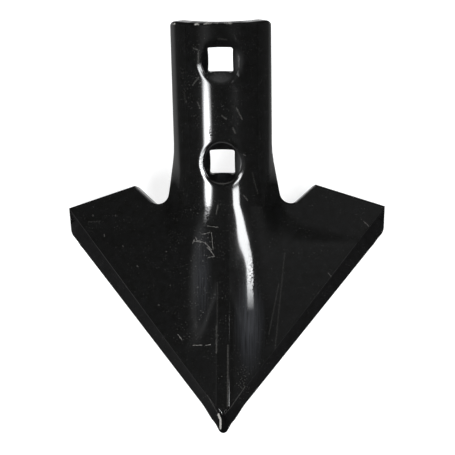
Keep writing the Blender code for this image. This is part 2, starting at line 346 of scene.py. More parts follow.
def cutting_edge():
    point_y = NOSE_LENGTH - NOSE_HALF_WIDTH / math.tan(NOSE_ANGLE)
    corners = [(-NOSE_HALF_WIDTH, NOSE_LENGTH, 0.0), (0.0, point_y, TIP_RADIUS)]
    corners += [(NOSE_HALF_WIDTH, NOSE_LENGTH, 2 * NOSE_LENGTH)]
    corners += [(SPAN / 2 - WING_END_LEAN, WING_LENGTH - CORNER_DROP, CORNER_RADIUS)]
    corners += [(SPAN / 2, WING_LENGTH, 0.0)]
    line = [p for p in rounded(corners) if p.x > NEAR_END and p.y < WING_LENGTH - NEAR_END]
    tip = Vector((0.0, point_y + TIP_RADIUS / math.sin(NOSE_ANGLE) - TIP_RADIUS))
    return divided([tip] + line, OUTLINE_STEP)


def sheared_edge():
    half = STEM_WIDTH / 2
    end_half = half + STEM_TAPER
    top = end_height(end_half)
    corners = [(SPAN / 2, WING_LENGTH, 0.0), (half + WING_ROOT_BESIDE, WING_LENGTH + REAR_RISE, 0.0)]
    corners += [(half + NOTCH_BESIDE, NOTCH_Y, NOTCH_RADIUS), (half, FLARE_FROM, FLARE_RADIUS)]
    corners += [(end_half, top, STEM_CORNER_RADIUS), (0.0, top, 0.0)]
    line = divided(rounded(corners), OUTLINE_STEP)
    for p in line:
        if p.y > top - STEM_CORNER_RADIUS:
            p.y = p.y + end_height(p.x) - top
    return line


sheared = sheared_edge()
print("points on the sheared edge", len(sheared))

# %% The closed outline
EDGE_DEPTH = 0.0050


def flat_places(line):
    return np.array([tuple(p) for p in line])


def ground_back(points):
    """Move points of the cutting edge to the places that lie over them on the unground face."""
    places = flat_places(points)
    direction = thickness_direction(places[:, 0], places[:, 1])
    return [Vector(p) for p in places + direction[:, :2] * EDGE_DEPTH]


ground = ground_back(cutting_edge())
wing_end = divided([ground[-1], sheared[0]], OUTLINE_STEP)[1:-1]
right_side = ground + wing_end + sheared
left_side = [Vector((-p.x, p.y)) for p in right_side[1:-1]][::-1]
outline = right_side + left_side
keenness = [1.0] * len(ground) + [1 - (i + 1) / (len(wing_end) + 1) for i in range(len(wing_end))]
keenness += [0.0] * len(sheared)
keenness += keenness[1:len(right_side) - 1][::-1]
print("outline points", len(outline))

# %% [markdown]
# Rims.
# A sharp corner on a real part is always a little round, and that rounding is
# what catches the light. So the outline is swept with a small profile: in and
# down over the front rim, down the side, and in again at the back. Each step
# of the profile is an inset from the outline and a depth under the face, and
# at the ground edge the same steps shrink to a thin, worn lip.

# %% Profiles of the sheared side and of the ground edge
SHEARED_PROFILE = [(0.90, 0.00), (0.60, 0.035), (0.36, 0.12), (0.18, 0.26), (0.05, 0.48), (0.0, 0.80)]
SHEARED_PROFILE += [(0.0, 3.2), (0.0, 5.50), (0.10, 5.82), (0.36, 6.0)]
GROUND_PROFILE = [(0.45, 4.68), (0.30, 4.80), (0.18, 4.90), (0.08, 5.02), (0.02, 5.16), (0.0, 5.30)]
GROUND_PROFILE += [(0.0, 5.45), (0.02, 5.70), (0.10, 5.90), (0.26, 6.0)]
MILLIMETRE = 0.001
LONGEST_MITRE = 2.0


def inset(line, distances):
    """Return a closed line moved inwards, by a distance for each of its points."""
    moved = []
    count = len(line)
    for i in range(count):
        before, here, after = line[i - 1], line[i], line[(i + 1) % count]
        left_in = (here - before).normalized().orthogonal()
        left_out = (after - here).normalized().orthogonal()
        across = (left_in + left_out).normalized()
        moved.append(here + across * distances[i] / max(across.dot(left_in), 1 / LONGEST_MITRE))
    return moved


rims = []
for plain, worn in zip(SHEARED_PROFILE, GROUND_PROFILE):
    insets = [(plain[0] + (worn[0] - plain[0]) * k) * MILLIMETRE for k in keenness]
    depths = [(plain[1] + (worn[1] - plain[1]) * k) * MILLIMETRE for k in keenness]
    rims.append((inset(outline, insets), depths))
print("rim lines", len(rims))

# %% [markdown]
# The bevel.
# Each leading edge is ground flat from the front. The grinder leaves a clear
# inner line, which runs from the crown to a shoulder and then straight to the
# wing's rear corner. Under the paint it is a narrow soft ridge, so it becomes
# two lines close together, one on the face and one just down the bevel.

# %% Inner lines of the bevels
BEVEL_MEET = 0.0080
BEVEL_SHOULDER = 0.0045
BEVEL_SLOPE = 0.70
RIDGE_IN = 0.00022
RIDGE_OUT = 0.00026
RIDGE_STOPS = 0.0006
RIM_WIDTH = SHEARED_PROFILE[0][0] * MILLIMETRE


def bevel_line():
    shoulder = Vector((NOSE_HALF_WIDTH, NOSE_LENGTH))
    wing_corner = Vector((SPAN / 2 - WING_END_LEAN, WING_LENGTH - CORNER_DROP))
    lead = wing_corner - shoulder
    aside = Vector((-lead.y, lead.x)).normalized()
    shoulder += lead.normalized() * NOSE_LENGTH / 2 + aside * BEVEL_SHOULDER
    corner = sheared[0]
    along_rear = (sheared[1] - corner).normalized()
    to_shoulder = (shoulder - corner).normalized()
    end = corner + to_shoulder * RIM_WIDTH / math.sin(to_shoulder.angle(along_rear))
    return [Vector((0.0, BEVEL_MEET)), shoulder, end]


def moved_line(line, aside):
    """Return a bevel line moved up off the bevel, or down onto it, and ended clear of the rim."""
    moved = []
    for i, here in enumerate(line):
        ahead = line[min(i + 1, len(line) - 1)] - line[max(i - 1, 0)]
        across = Vector((-ahead.y, ahead.x)).normalized()
        if i == 0:
            sideways = (line[1] - line[0]).normalized().x
            across = Vector((0.0, 1.0 / max(1 / LONGEST_MITRE, sideways)))
        moved.append(here + across * aside)
    moved[-1] = line[-1] + (line[-2] - line[-1]).normalized() * RIDGE_STOPS + (moved[-1] - line[-1])
    return divided(moved, OUTLINE_STEP)


ridge_on_face = moved_line(bevel_line(), RIDGE_IN)
ridge_on_bevel = moved_line(bevel_line(), -RIDGE_OUT)


def height_on(line, x):
    for a, b in zip(line, line[1:]):
        if abs(x) <= b.x:
            return a.y + (b.y - a.y) * (abs(x) - a.x) / (b.x - a.x)
    return -1.0


def both_sides(line):
    return [Vector((-p.x, p.y)) for p in line[:0:-1]] + line


print("bevel shoulder", tuple(round(v, 4) for v in bevel_line()[1]))

# %% [markdown]
# Facets between the lines.
# A Delaunay triangulation fills a flat outline with well-shaped triangles and
# keeps every given line as an edge. Places are laid out in staggered rows for
# even triangles, closer together where the press folded the plate tightly,
# and in rings round each hole, where the face drops into the countersink.

# %% Rings of places round the holes
HOLE_SIDE = 22
HOLE_CORNER = 6
RIM_BREAK = 0.00028
RING_FROM = 0.0080
RING_TO = 0.0121
RING_STEP = 0.0003
FRONT_RINGS = [0.0, 0.18, 0.38, 0.58, 0.79, 1.0]
BACK_RINGS = [0.0, 0.5, 1.0]
SETTLING_ROUNDS = 12


def square_line(spread):
    """Return the hole's square, pinched along its sides and spread by a distance."""
    half = BOLT_SQUARE / 2 + spread
    inner = BOLT_SQUARE / 2 - SQUARE_CORNER
    corner = SQUARE_CORNER + spread
    points = []
    for quarter in range(4):
        turn = Matrix.Rotation(math.radians(90 * quarter), 2)
        for i in range(HOLE_SIDE):
            s = -1 + 2 * (i + 0.5) / HOLE_SIDE
            points.append(turn @ Vector((half - SQUARE_PINCH * (1 - s * s), inner * s)))
        for i in range(HOLE_CORNER):
            angle = math.radians(90 * (i + 0.5) / HOLE_CORNER)
            offset = Vector((math.cos(angle), math.sin(angle))) * corner
            points.append(turn @ (Vector((inner, inner)) + offset))
    return points


def rings(parts, beyond):
    """Return rings in a hole's plan: at parts of the way from square to circle, and some beyond."""
    square = square_line(RIM_BREAK)
    circle = [p.normalized() * RING_FROM for p in square]
    found = [[a.lerp(b, t) for a, b in zip(square, circle)] for t in parts]
    found += [[p.normalized() * (RING_FROM + RING_STEP * (i + 1)) for p in square] for i in range(beyond)]
    return found


def places_under(surface, hole, targets):
    """Return the places on the die whose points lie at the targets in the hole's plan."""
    turn, centre = hole
    targets = flat_places(targets)
    places = centre[:2] + targets * [1.0, math.cos(STEM_LEAN)]
    for _ in range(SETTLING_ROUNDS):
        local = (surface(places) - centre) @ turn
        places = places + (targets - local[:, :2])
    return [Vector(p) for p in places]


def rings_on_die(surface, plan):
    return [[places_under(surface, hole, ring) for ring in plan] for hole in HOLES]


front_rings = rings_on_die(unsunk_face, rings(FRONT_RINGS, round((RING_TO - RING_FROM) / RING_STEP)))
back_rings = rings_on_die(back_face, rings(BACK_RINGS, 0))
print("rings round each hole", len(front_rings[0]), "in front", len(back_rings[0]), "behind")

# %% Staggered rows over the rest of the plate
ROW = 0.00125
ROW_RISE = 0.866
FOLD_COLUMNS = [0.0, 0.0012, 0.00235, 0.00252, 0.00269, 0.00286, 0.00303, 0.0039]
EVEN_FROM = 0.0052
CLEAR_OF_RIM = 0.00055
CLEAR_OF_RIDGE = 0.0005
CLEAR_OF_HOLE = 0.0128
CLEAR_BEHIND = 0.0108


def clear_inside(p, starts, runs):
    """Say whether a place lies inside a closed line, given as starts and runs, and clear of it."""
    t = np.clip(((p - starts) * runs).sum(1) / (runs ** 2).sum(1), 0.0, 1.0)
    distance = np.hypot(*(starts + runs * t[:, None] - p).T).min()
    crossed = (starts[:, 1] > p[1]) != (np.roll(starts[:, 1], -1) > p[1])
    with np.errstate(divide="ignore", invalid="ignore"):
        cut_x = starts[:, 0] + (p[1] - starts[:, 1]) / runs[:, 1] * runs[:, 0]
    return np.count_nonzero(crossed & (cut_x > p[0])) % 2 == 1 and distance > CLEAR_OF_RIM


def staggered(line, holes_clear, belongs):
    """Return staggered places inside a closed line, clear of it and of the holes."""
    starts = flat_places(line)
    runs = np.roll(starts, -1, axis=0) - starts
    places = []
    for row in range(int(end_height(STEM_WIDTH / 2) / (ROW * ROW_RISE)) + 2):
        y = row * ROW * ROW_RISE
        shift = 0.5 * (row % 2)
        half_row = FOLD_COLUMNS + [EVEN_FROM + ROW * (i + shift) for i in range(int(SPAN / 2 / ROW))]
        places += [(x, y) for x in half_row] + [(-x, y) for x in half_row if x > 0.0]
    places = np.array([p for p in np.array(places) if clear_inside(p, starts, runs)])
    for turn, centre in HOLES:
        reach = np.hypot(places[:, 0] - centre[0], (places[:, 1] - centre[1]) / math.cos(STEM_LEAN))
        places = places[reach > holes_clear]
    return [Vector(p) for p in places if belongs(p)]


def on_face(p):
    """Say whether a place is clear of the bevels and of their ridge."""
    return abs(p[0]) < ridge_on_face[-1].x and p[1] > height_on(ridge_on_face, p[0]) + CLEAR_OF_RIDGE


front_loop, front_depths = rims[0]
back_loop = rims[-1][0]
front_places = staggered(front_loop, CLEAR_OF_HOLE, on_face)
back_places = staggered(back_loop, CLEAR_BEHIND, lambda p: True)
for places, groups in ((front_places, front_rings), (back_places, back_rings)):
    for group in groups:
        places += [p for ring in group[1:] for p in ring]
print("places in front", len(front_places), "behind", len(back_places))

# %% Fill the front and the back with triangles
ONLY_INSIDE = 1
SAME_PLACE = 1e-7


def fill(loop, hole_loops, lines, places):
    """Triangulate inside the loop, round the hole loops, with the lines kept as edges."""
    spots = list(loop)
    edges = []
    for hole_loop in hole_loops:
        start = len(spots)
        spots += hole_loop
        numbers = list(range(start, len(spots)))
        edges += list(zip(numbers, numbers[1:] + numbers[:1]))
    for line in lines:
        start = len(spots)
        spots += line
        edges += [(i, i + 1) for i in range(start, len(spots) - 1)]
    spots += places
    cut = delaunay_2d_cdt(spots, edges, [list(range(len(loop)))], ONLY_INSIDE, SAME_PLACE)
    new_of = {source: i for i, sources in enumerate(cut[3]) for source in sources}
    in_hole = [0] * len(cut[0])
    first = len(loop)
    for number, hole_loop in enumerate(hole_loops):
        for i in range(first, first + len(hole_loop)):
            in_hole[new_of[i]] = number + 1
        first += len(hole_loop)
    kept = [t for t in cut[2] if not (in_hole[t[0]] and in_hole[t[0]] == in_hole[t[1]] == in_hole[t[2]])]
    return flat_places(cut[0]), kept, new_of


bevels = [both_sides(ridge_on_face), both_sides(ridge_on_bevel)]
front_squares = [group[0] for group in front_rings]
back_squares = [group[0] for group in back_rings]
front_xy, front_triangles, front_new = fill(front_loop, front_squares, bevels, front_places)
back_xy, back_triangles, back_new = fill(back_loop, back_squares, [], back_places)
print("front facets", len(front_triangles), "back facets", len(back_triangles))

# %% [markdown]
# One closed skin.
# The front, the back, the swept rims and the walls of the square holes are
# joined point by point into one closed mesh, as the share is one piece of
# steel.

# %% Points and facets of the front and the back
FRONT, BACK, GROUND, SIDE = 1, 2, 3, 4
ridge_start = len(front_loop) + sum(len(line) for line in front_squares) + len(bevels[0])
ridge_end = ridge_start + len(bevels[1])
depth_in_front = np.zeros(len(front_xy))
for source, i in front_new.items():
    if source < len(front_loop):
        depth_in_front[i] = front_depths[source]
    elif ridge_start <= source < ridge_end:
        depth_in_front[i] = (RIDGE_IN + RIDGE_OUT) * BEVEL_SLOPE
front_skin = front_points(front_xy, depth_in_front)
back_skin = back_face(back_xy)
points = [front_skin, back_skin]
back_start = len(front_skin)
facets = []
kinds = []
for triangle in front_triangles:
    middle = front_xy[list(triangle)].mean(axis=0)
    facets.append(tuple(triangle))
    kinds.append(FRONT if middle[1] > height_on(ridge_on_face, middle[0]) else GROUND)
for a, b, c in back_triangles:
    facets.append((back_start + c, back_start + b, back_start + a))
    kinds.append(BACK)
print("ground facets", kinds.count(GROUND))

# %% Strips down the rims and the hole walls
def add_strip(first, second):
    for i in range(len(first)):
        j = (i + 1) % len(first)
        facets.append((first[i], first[j], second[j], second[i]))
        kinds.append(SIDE)


total = len(front_skin) + len(back_skin)
loops = [[front_new[i] for i in range(len(outline))]]
for line, depths in rims[1:-1]:
    points.append(plate_points(flat_places(line), depths))
    loops.append(list(range(total, total + len(line))))
    total += len(line)
loops.append([back_start + back_new[i] for i in range(len(outline))])
for upper, lower in zip(loops, loops[1:]):
    add_strip(upper, lower)

first = len(outline)
square = flat_places(square_line(0.0))
for turn, centre in HOLES:
    numbers = range(first, first + len(square))
    top = [front_new[i] for i in numbers]
    bottom = [back_new[i] for i in numbers]
    top_height = ((front_skin[top] - centre) @ turn)[:, 2] - RIM_BREAK
    bottom_height = ((back_skin[bottom] - centre) @ turn)[:, 2] + RIM_BREAK
    wall = [top]
    for height in (top_height, bottom_height):
        points.append(np.column_stack([square, height]) @ turn.T + centre)
        wall.append(list(range(total, total + len(square))))
        total += len(square)
    wall.append([back_start + i for i in bottom])
    for upper, lower in zip(wall, wall[1:]):
        add_strip(upper, lower)
    first += len(square)
points = np.concatenate(points)
print("points", total, "side facets", kinds.count(SIDE))

# %% Join them into one mesh
skin = bmesh.new()
corners = [skin.verts.new(p) for p in points]
kind_layer = skin.faces.layers.int.new("kind")
for facet, kind in zip(facets, kinds):
    face = skin.faces.new([corners[i] for i in facet])
    face[kind_layer] = kind
    face.smooth = True
bmesh.ops.recalc_face_normals(skin, faces=skin.faces[:])
open_edges = [edge for edge in skin.edges if len(edge.link_faces) != 2]
loose = [corner for corner in skin.verts if not corner.link_faces]
print("facets", len(skin.faces), "open edges", len(open_edges), "loose points", len(loose))

# %% [markdown]
# What each point was finished with.
# The paint lies smooth on the pressed face, dull on ground, sheared and sunk
# steel. So every point of the skin carries how far it is ground, cut or sunk,
# and its place on the die in millimetres, which the marks of use are laid out
# in.

# %% Finish and die place of every point
GROUND_FULLY = 0.0003
SUNK_FULLY = 0.0006
KEEN_FULLY = 0.12
STEPS_TO_CUT = 3
finish_parts = {"ground": [], "cut": [], "sunk": []}
place_parts = []


def eased(values, top):
    return np.clip(np.asarray(values) / top, 0.0, 1.0)


def finished(places, **amounts):
    """Add the next points' places, and how far they are ground, cut or sunk."""
    place_parts.append(places)
    for name, parts in finish_parts.items():
        parts.append(np.broadcast_to(amounts.get(name, 0.0), len(places)))


lowered = np.linalg.norm(front_skin - plate_points(front_xy, depth_in_front), axis=1)
lowered = np.where(front_xy[:, 1] > LOWER_HOLE - COUNTERSINK, lowered, 0.0)
finished(front_xy, ground=eased(depth_in_front, GROUND_FULLY), sunk=eased(lowered, SUNK_FULLY))
finished(back_xy)
keen = eased(keenness, KEEN_FULLY)
for number, (line, depths) in enumerate(rims[1:-1]):
    finished(flat_places(line), ground=keen, cut=(1 - keen) * min(1.0, number / STEPS_TO_CUT))
for turn, centre in HOLES:
    finished(np.concatenate([square, square]) + centre[:2], cut=1.0, sunk=1.0)
finish = {name: np.concatenate(parts) for name, parts in finish_parts.items()}
places_mm = np.concatenate(place_parts) / MILLIMETRE
print("points with a finish", len(places_mm), "ground", round(float(finish["ground"].sum())))

# %% [markdown]
# True normals.
# Gloss paint shows the slightest kink, and a normal averaged from facets is
# never quite right. The form is known exactly, so the face and the back take
# their normals from it, by stepping a hair's breadth to each side. The rims
# and bevels keep the facets' own, with the ridge of the bevel kept crisp.

# %% Give the skin its normals
SHARP_ANGLE = math.radians(50)


def true_normals(surface, places):
    step = 0.00002
    across = surface(places + [step, 0.0]) - surface(places - [step, 0.0])
    along = surface(places + [0.0, step]) - surface(places - [0.0, step])
    normals = np.cross(across, along)
    return normals / np.linalg.norm(normals, axis=1, keepdims=True)


def read_all(collection, name):
    """Return one whole number of every item in a mesh's collection."""
    values = np.zeros(len(collection), np.int32)
    collection.foreach_get(name, values)
    return values


data = bpy.data.meshes.new("share_skin")
skin.to_mesh(data)
skin.free()
normals = np.zeros((len(points), 3))
normals[:back_start] = true_normals(front_points, front_xy)
normals[back_start:back_start + len(back_skin)] = -true_normals(back_face, back_xy)
facet_kinds = read_all(data.attributes["kind"].data, "value")
loop_kinds = np.repeat(facet_kinds, read_all(data.polygons, "loop_total"))
known = (loop_kinds == FRONT) | (loop_kinds == BACK)
loop_normals = np.where(known[:, None], normals[read_all(data.loops, "vertex_index")], 0.0)

ridge = {front_new[i] for i in range(ridge_start, ridge_end)}
data.set_sharp_from_angle(angle=SHARP_ANGLE)
for edge in data.edges:
    if edge.vertices[0] in ridge and edge.vertices[1] in ridge:
        edge.use_edge_sharp = True
data.normals_split_custom_set(loop_normals.tolist())
print("corners with a true normal", int(known.sum()), "of", len(known))

# %% [markdown]
# Laid down.
# The share lies on its point and on both wings' rear corners, pitched up from
# the die by one angle. The fine share is turned by it, and moved until it
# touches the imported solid's box, and then it takes that solid's place.

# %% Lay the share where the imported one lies
def in_scene(name, data):
    """Make an object of some data, and put it in the scene."""
    made = bpy.data.objects.new(name, data)
    bpy.context.scene.collection.objects.link(made)
    return made


laid = Matrix.Rotation(RESTING_PITCH, 4, "X")
turned = points @ np.array(laid.to_3x3()).T
offset = Vector((0.0, share_low.y - turned[:, 1].min(), share_low.z - turned[:, 2].min()))
share_to_world = Matrix.Translation(offset) @ laid
data.transform(share_to_world)
for name, values in finish.items():
    data.attributes.new(name, "FLOAT", "POINT").data.foreach_set("value", values.astype(np.float32))
place_vectors = np.column_stack([places_mm, np.zeros(len(places_mm))]).astype(np.float32)
data.attributes.new("die_place", "FLOAT_VECTOR", "POINT").data.foreach_set("vector", place_vectors.ravel())
share = in_scene("pressed_share", data)
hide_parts("share")
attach(share, "root")
print("share lies at", tuple(round(v, 5) for v in offset))

# %% [markdown]
# Black paint.
# Gloss paint is a dark layer under a clear, smooth skin, and the skin gives
# the sharp highlights: in the shader it is the coat. Over ground, sheared and
# sunk steel the paint is thin and follows the grain below, so it shines there
# only dully. Colour and coat weight change over the share, and nodes feed
# them. What is the same all over is set on the shader itself.

# %% Shader nodes by name
def add_node(tree, kind, values=(), **settings):
    """Add a node, with settings by name and the first inputs' values or the sockets that feed them."""
    node = tree.nodes.new(kind)
    for name, value in settings.items():
        setattr(node, name, value)
    for i, value in enumerate(values):
        if isinstance(value, bpy.types.NodeSocket):
            tree.links.new(value, node.inputs[i])
        elif value is not None:
            node.inputs[i].default_value = value
    return node


def math_node(tree, operation, *values, clamp=False):
    return add_node(tree, "ShaderNodeMath", values, operation=operation, use_clamp=clamp).outputs[0]


def times(tree, first, second, clamp=False):
    return math_node(tree, "MULTIPLY", first, second, clamp=clamp)


def larger(tree, first, second):
    return math_node(tree, "MAXIMUM", first, second)


def between(tree, mask, first, last):
    """Return the first value where a mask is 0 and the last where it is 1."""
    return math_node(tree, "MULTIPLY_ADD", mask, last - first, first)


def vector_node(tree, operation, *values):
    return add_node(tree, "ShaderNodeVectorMath", values, operation=operation).outputs[0]


def vector_value(tree, operation, *values):
    return add_node(tree, "ShaderNodeVectorMath", values, operation=operation).outputs["Value"]


def ranged(tree, value, first, last, low=0.0, high=1.0, **settings):
    """Return a value carried from the range first to last onto the range low to high."""
    return add_node(tree, "ShaderNodeMapRange", [value, first, last, low, high], **settings).outputs[0]


def noise(tree, place, scale, detail, roughness=0.5, output="Fac"):
    return add_node(tree, "ShaderNodeTexNoise", [place, None, scale, detail, roughness]).outputs[output]


def mixed_color(tree, factor, first, second):
    values = [factor, None, None, None, None, None, first, second]
    return add_node(tree, "ShaderNodeMix", values, data_type="RGBA").outputs[2]


# %% The paint, sound and over worked steel
PAINT = (0.0034, 0.0034, 0.0031, 1.0)
DULL_PAINT = (0.0021, 0.0020, 0.0020, 1.0)
GLOSS_ROUGHNESS = 0.085
DULL_ROUGHNESS = 0.30
HAZE = 0.012
KEPT_SHINE = {"ground": 0.018, "cut": 0.7, "sunk": 0.12}
DULLED = {"ground": 1.0, "cut": 0.3, "sunk": 0.8}

paint = bpy.data.materials.new("black_gloss_paint")
paint.use_nodes = True
tree = paint.node_tree
paint_shader = tree.nodes["Principled BSDF"]
paint_shader.inputs["Coat Roughness"].default_value = GLOSS_ROUGHNESS
paint_shader.inputs["Roughness"].default_value = DULL_ROUGHNESS
paint_shader.inputs["Specular IOR Level"].default_value = HAZE
place = add_node(tree, "ShaderNodeAttribute", attribute_name="die_place").outputs["Vector"]
worked = {}
shine = 1.0
dull = 0.0
for name in finish:
    worked[name] = add_node(tree, "ShaderNodeAttribute", attribute_name=name).outputs["Fac"]
    shine = times(tree, between(tree, worked[name], 1.0, KEPT_SHINE[name]), shine)
    dull = larger(tree, times(tree, worked[name], DULLED[name]), dull)
surface = mixed_color(tree, dull, PAINT, DULL_PAINT)
data.materials.append(paint)
print("paint", paint.name, "over", list(worked))

# %% [markdown]
# Wear in the gloss.
# A highlight breaks up where the clear skin is rubbed away: round the upper
# hole, over the foot, at the wings' roots and down the stem's flanks. A patch
# of wear is a soft ellipse on the die: the x and y of its middle, and how far
# it reaches across and along, in millimetres. A strength over 1 flattens its
# middle. Noise crumbles some patches into flecks.

# %% Soft patches
def patch(tree, place, x, y, wide, high):
    """Return a soft mask: 1 in the middle of an ellipse, and 0 outside it."""
    from_middle = vector_node(tree, "SUBTRACT", place, (x, y, 0.0))
    scaled = vector_node(tree, "MULTIPLY", from_middle, (1 / wide, 1 / high, 0.0))
    distance = vector_value(tree, "LENGTH", scaled)
    return ranged(tree, distance, 0.0, 1.0, 1.0, 0.0, interpolation_type="SMOOTHSTEP")


def patches(tree, place, spots):
    """Return one mask of many patches."""
    mask = 0.0
    for spot in spots:
        mask = larger(tree, patch(tree, place, *spot), mask)
    return mask


# %% Patches without gloss
WORN_TOP = [(0.0, 180.0, 19.0, 60.0)]
WORN_RIM = [(-9.5, 169.5, 7.5, 16.5)]
WORN_SPOTS = [(3.8, 63.0, 7.0, 24.0), (12.0, 44.0, 12.0, 27.0), (7.4, 50.0, 5.2, 15.0),
              (5.4, 55.5, 4.0, 16.0), (3.4, 32.0, 2.6, 36.0), (8.5, 173.0, 7.0, 11.0),
              (10.0, 156.0, 6.5, 13.0), (7.0, 152.0, 4.0, 6.0), (0.0, 108.6, 6.5, 5.0)]
WORN_ROOTS = [(-22.0, 99.0, 7.5, 23.0), (22.0, 99.0, 7.5, 23.0)]
WORN = [(WORN_TOP, 1.4), (WORN_RIM, 3.0), (WORN_SPOTS, 1.3), (WORN_ROOTS, 1.5)]
CRUMBLED = [(13.5, 62.0, 5.0, 26.0), (-11.0, 108.0, 4.5, 26.0), (-4.6, 129.0, 2.4, 6.0),
            (-6.5, 92.0, 4.5, 12.0)]
CRUMB_SCALE = 1.1
CRUMB_LEVELS = (0.47, 0.58)

worn = 0.0
for spots, strength in WORN:
    worn = larger(tree, times(tree, patches(tree, place, spots), strength, clamp=True), worn)
crumbs = ranged(tree, noise(tree, place, CRUMB_SCALE, detail=4.0), *CRUMB_LEVELS)
worn = larger(tree, times(tree, patches(tree, place, CRUMBLED), crumbs), worn)
print("worn patches", sum(len(spots) for spots, strength in WORN) + len(CRUMBLED))

# %% Flanks of the stem, less worn
FLANK_LOSS = 0.55
FLANK_INSIDE = (13.0, 17.0)
FLANK_OUTSIDE = (20.6, 17.0)
FLANK_FOOT = (92.0, 104.0)

place_parts = add_node(tree, "ShaderNodeSeparateXYZ", [place])
beside = math_node(tree, "ABSOLUTE", place_parts.outputs["X"])
flank = ranged(tree, beside, *FLANK_OUTSIDE, 0.0, FLANK_LOSS)
flank = times(tree, flank, ranged(tree, beside, *FLANK_INSIDE))
flank = times(tree, flank, ranged(tree, place_parts.outputs["Y"], *FLANK_FOOT))
worn = larger(tree, worn, flank)
shine = times(tree, shine, between(tree, worn, 1.0, 0.0))
print("most lost on the flanks", FLANK_LOSS)

# %% [markdown]
# Painted sheen, and mottling.
# On the foot, on both sides of the crown, a soft sheen of reflected light is
# painted into the colour as a streaky grey: a painted sheen. The streaks are
# noise drawn out along the share. Everywhere else a faint mottling keeps the
# black from being one flat colour.

# %% Painted sheen and mottled colour
# Patches of painted sheen on the foot; their grey is also the mottling's grey.
PAINTED_SHEEN_PATCHES = [((-9.3, 68.0, 6.0, 30.0), 1.0), ((11.5, 46.5, 8.5, 30.0), 1.45)]
SHEEN_AND_MOTTLE_GREY = (0.026, 0.027, 0.030, 1.0)
SHEEN_GREY_SHARE = 0.68
STREAK_STRETCH = (1.6, 0.07, 1.0)
STREAK_STRENGTHS = (0.35, 1.3)
MOTTLING_SCALE = 0.35
MOTTLED = 0.09
MIDDLE_LEVELS = (0.3, 0.7)

painted_sheen = 0.0
for spot, strength in PAINTED_SHEEN_PATCHES:
    painted_sheen = larger(tree, times(tree, patch(tree, place, *spot), strength), painted_sheen)
drawn_out = vector_node(tree, "MULTIPLY", place, STREAK_STRETCH)
streaks = ranged(tree, noise(tree, drawn_out, 1.0, detail=3.0), *MIDDLE_LEVELS, *STREAK_STRENGTHS)
painted_sheen = times(tree, times(tree, painted_sheen, streaks), SHEEN_GREY_SHARE)
mottled = noise(tree, place, MOTTLING_SCALE, detail=5.0)
mottled = ranged(tree, mottled, *MIDDLE_LEVELS, 0.0, MOTTLED)
surface = mixed_color(tree, larger(tree, painted_sheen, mottled), surface, SHEEN_AND_MOTTLE_GREY)
print("scuffed patches", len(PAINTED_SHEEN_PATCHES))

# %% [markdown]
# Marks of use, and painted highlights.
# The share has been handled and bolted up, so its paint is scratched where
# it was dragged and chipped along its end. The same strokes also paint
# highlights: thin lines of light along the crown's edges and along the bevels'
# ridge near the point, short glints down the upper hole's rims, and a glint at
# the point. Each stroke is a line on the die, from one end's x and y to the
# other's, and each kind has a width and a strength. Drawn dead straight it
# would look ruled, so noise makes it wander and breaks it up. As there are
# many, one node group draws a stroke, and is placed for each.

# %% The lines of the marks and of the painted highlights
CROSSED_SCRATCHES = [(-7.8, 82.4, -3.7, 76.1), (-11.3, 83.1, -7.8, 82.0), (-7.8, 82.0, -5.0, 79.0),
                     (-9.1, 85.7, -5.8, 86.5), (-6.9, 89.4, -2.1, 88.8), (-13.4, 81.9, -12.6, 83.4),
                     (-6.5, 75.7, -3.7, 76.2), (-5.0, 86.5, -4.3, 79.0), (-13.0, 82.8, -9.5, 82.3),
                     (-11.9, 84.4, -11.6, 82.9), (-6.9, 80.0, -4.6, 77.6)]
FOOT_SCRATCHES = [(-13.4, 37.4, -9.3, 37.6), (-7.5, 37.6, -5.5, 37.8), (-20.0, 42.1, -18.2, 39.7)]
# Scuffs on the stem; the last two lines are painted glints down the upper hole's right and left rims.
STEM_SCUFFS_AND_RIM_GLINTS = [(4.9, 131.7, 6.0, 129.6), (6.7, 140.3, 9.0, 135.5), (0.4, 136.9, 2.3, 135.5),
               (-10.2, 143.0, -9.1, 140.3), (-12.1, 150.3, -9.5, 153.4), (-11.3, 165.8, -9.8, 165.1),
               (9.0, 102.7, 10.8, 100.6), (9.5, 120.3, 9.9, 120.0), (-2.1, 98.3, -2.8, 94.6),
               (7.7, 162.0, 8.1, 157.5), (-9.3, 164.5, -9.5, 157.0)]
# Faint lines; the one at x -2.4 runs along the crown's left edge and is a painted highlight.
FAINT_RUNS = [(13.0, 112.4, 15.2, 103.5), (-16.1, 147.3, -15.5, 143.0), (26.7, 77.2, 22.4, 35.6),
              (24.1, 63.8, 19.8, 42.1), (-2.4, 64.5, -2.4, 35.0), (-0.6, 169.5, 3.0, 169.1),
              (-61.6, 91.5, -56.5, 91.7)]
WING_SPECKS = [(-59.7, 94.5, -59.5, 94.2), (-49.1, 94.5, -48.9, 94.2), (-54.3, 85.8, -54.1, 85.0),
               (-45.4, 80.8, -45.3, 80.6), (-25.4, 78.2, -25.2, 78.1), (-38.8, 72.0, -38.4, 71.6),
               (-28.9, 54.8, -28.6, 54.7), (45.7, 68.1, 47.0, 66.8), (61.6, 91.0, 63.8, 88.9)]
END_CHIPS = [(-10.6, 175.9, -9.1, 175.8), (-6.5, 176.0, -3.6, 176.2), (2.3, 176.1, 5.3, 176.1),
             (-2.4, 176.3, -0.8, 176.2), (-20.3, 176.6, -19.7, 176.7)]
# Painted highlights: thin lines of light along the crown's edges, low on the nose.
CROWN_EDGE_HIGHLIGHTS = [(-2.8, 46.0, -2.8, 34.5), (2.2, 37.5, 2.2, 11.5)]
# Painted highlights along the bevels' inner ridge near the point.
POINT_RIDGE_HIGHLIGHTS = [(-6.7, 16.1, -2.7, 8.6), (9.6, 19.7, 3.6, 10.9), (3.6, 10.9, 1.0, 8.3)]
